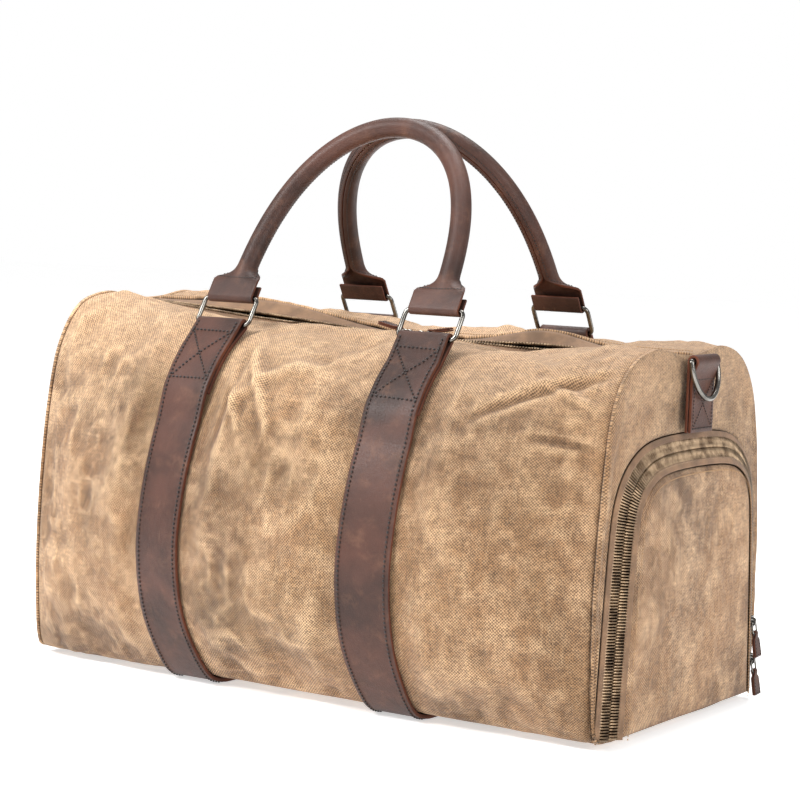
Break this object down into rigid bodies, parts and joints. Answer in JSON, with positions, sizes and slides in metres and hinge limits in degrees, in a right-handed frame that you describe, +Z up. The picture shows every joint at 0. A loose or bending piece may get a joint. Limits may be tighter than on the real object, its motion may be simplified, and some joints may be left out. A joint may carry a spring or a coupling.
{
  "type": "duffel bag",
  "caption": "Canvas weekender duffel bag with leather straps, rolled handles on metal rings, a top zip and a zipped shoe compartment in one end.",
  "frame": {"origin": "on the floor, under the middle of the whole bag", "axes": "+X towards the shoe compartment, -Y towards the front, +Z up"},
  "size_m": [0.5512, 0.3596, 0.4421],
  "materials": {
    "canvas": "waxed canvas, satin, creased",
    "lining": "woven cotton",
    "board": "matt",
    "zip_tape": "woven tape",
    "zip_metal": "antiqued",
    "ring_metal": "polished gunmetal",
    "leather": "waxed pull-up leather",
    "rope": "cotton rope"
  },
  "bodies": {
    "bag": {"front_panel": "canvas", "back_panel": "canvas", "bottom_panel": "canvas", "left_end_panel": "canvas", "right_end_panel": "canvas", "main_lining": "lining", "shoe_pocket_lining": "lining", "base_board": "board", "top_zip_tape_front": "zip_tape", "top_zip_tape_back": "zip_tape", "top_zip_teeth_front": "zip_metal", "top_zip_teeth_back": "zip_metal", "top_zip_stop_left": "zip_metal", "top_zip_stop_right": "zip_metal", "shoe_zip_tape_outer": "zip_tape", "shoe_zip_teeth_outer": "zip_metal", "strap_left": "leather", "strap_right": "leather", "d_ring_tab_left": "leather", "d_ring_tab_right": "leather"},
    "ring_front_left": {"ring_front_left": "ring_metal"},
    "ring_front_right": {"ring_front_right": "ring_metal"},
    "handle_front": {"handle_front": "leather", "handle_core_front": "rope"},
    "ring_back_left": {"ring_back_left": "ring_metal"},
    "ring_back_right": {"ring_back_right": "ring_metal"},
    "handle_back": {"handle_back": "leather", "handle_core_back": "rope"},
    "d_ring_left": {"d_ring_left": "ring_metal"},
    "d_ring_right": {"d_ring_right": "ring_metal"},
    "top_left_slider": {"top_left_slider": "ring_metal"},
    "top_right_slider": {"top_right_slider": "ring_metal"},
    "top_left_pull": {"top_left_pull_link": "ring_metal", "top_left_pull_tab": "leather"},
    "top_right_pull": {"top_right_pull_link": "ring_metal", "top_right_pull_tab": "leather"},
    "shoe_door": {"shoe_door_panel": "canvas", "shoe_zip_tape_inner": "zip_tape", "shoe_zip_teeth_inner": "zip_metal"},
    "shoe_upper_slider": {"shoe_upper_slider": "ring_metal"},
    "shoe_lower_slider": {"shoe_lower_slider": "ring_metal"},
    "shoe_upper_pull": {"shoe_upper_pull_link": "ring_metal", "shoe_upper_pull_tab": "leather"},
    "shoe_lower_pull": {"shoe_lower_pull_link": "ring_metal", "shoe_lower_pull_tab": "leather"}
  },
  "joints": [
    {"name": "front_ring_left_swing", "type": "hinge", "parent": "bag", "child": "ring_front_left", "pos_m": [-0.094, -0.104, 0.277], "axis": [1, 0, 0], "range_deg": [0, 120]},
    {"name": "front_ring_right_swing", "type": "hinge", "parent": "bag", "child": "ring_front_right", "pos_m": [0.094, -0.104, 0.277], "axis": [1, 0, 0], "range_deg": [0, 120]},
    {"name": "front_handle_swing", "type": "hinge", "parent": "ring_front_left", "child": "handle_front", "pos_m": [0, -0.092, 0.29779], "axis": [1, 0, 0], "range_deg": [0, 60]},
    {"name": "back_ring_left_swing", "type": "hinge", "parent": "bag", "child": "ring_back_left", "pos_m": [-0.094, 0.104, 0.277], "axis": [-1, 0, 0], "range_deg": [0, 120]},
    {"name": "back_ring_right_swing", "type": "hinge", "parent": "bag", "child": "ring_back_right", "pos_m": [0.094, 0.104, 0.277], "axis": [-1, 0, 0], "range_deg": [0, 120]},
    {"name": "back_handle_swing", "type": "hinge", "parent": "ring_back_left", "child": "handle_back", "pos_m": [0, 0.092, 0.29779], "axis": [-1, 0, 0], "range_deg": [0, 60]},
    {"name": "d_ring_left_swing", "type": "hinge", "parent": "bag", "child": "d_ring_left", "pos_m": [-0.2683, 0, 0.269], "axis": [0, 1, 0], "range_deg": [0, 140]},
    {"name": "d_ring_right_swing", "type": "hinge", "parent": "bag", "child": "d_ring_right", "pos_m": [0.2683, 0, 0.269], "axis": [0, -1, 0], "range_deg": [0, 140]},
    {"name": "top_left_slider_travel", "type": "slide", "parent": "bag", "child": "top_left_slider", "axis": [-0.9981, 0, 0.0619], "range_m": [0, 0.245]},
    {"name": "top_right_slider_travel", "type": "slide", "parent": "bag", "child": "top_right_slider", "axis": [1, 0, 0], "range_m": [0, 0.215]},
    {"name": "top_left_pull_lift", "type": "hinge", "parent": "top_left_slider", "child": "top_left_pull", "pos_m": [0.01169, 0, 0.27486], "axis": [0, 1, 0], "range_deg": [0, 140]},
    {"name": "top_right_pull_lift", "type": "hinge", "parent": "top_right_slider", "child": "top_right_pull", "pos_m": [0.0225, 0, 0.27453], "axis": [0, -1, 0], "range_deg": [0, 140]},
    {"name": "shoe_door_swing", "type": "hinge", "parent": "bag", "child": "shoe_door", "pos_m": [0.266, 0, 0.0089], "axis": [0, 1, 0], "range_deg": [0, 80]},
    {"name": "shoe_upper_slider_travel", "type": "slide", "parent": "shoe_door", "child": "shoe_upper_slider", "axis": [0, -0.066, 0.9978], "range_m": [0, 0.08]},
    {"name": "shoe_upper_pull_lift", "type": "hinge", "parent": "shoe_upper_slider", "child": "shoe_upper_pull", "pos_m": [0.26603, 0.11382, 0.062], "axis": [0, -0.9978, -0.066], "range_deg": [0, 140]},
    {"name": "shoe_lower_slider_travel", "type": "slide", "parent": "shoe_door", "child": "shoe_lower_slider", "axis": [0, -0.066, 0.9978], "range_m": [0, 0.0025]},
    {"name": "shoe_lower_pull_lift", "type": "hinge", "parent": "shoe_lower_slider", "child": "shoe_lower_pull", "pos_m": [0.26603, 0.11581, 0.032], "axis": [0, -0.9978, -0.066], "range_deg": [0, 95]}
  ],
  "couplings": [
    {"joint": "front_ring_right_swing", "follows": "front_ring_left_swing", "ratio": 1},
    {"joint": "back_ring_right_swing", "follows": "back_ring_left_swing", "ratio": 1}
  ]
}
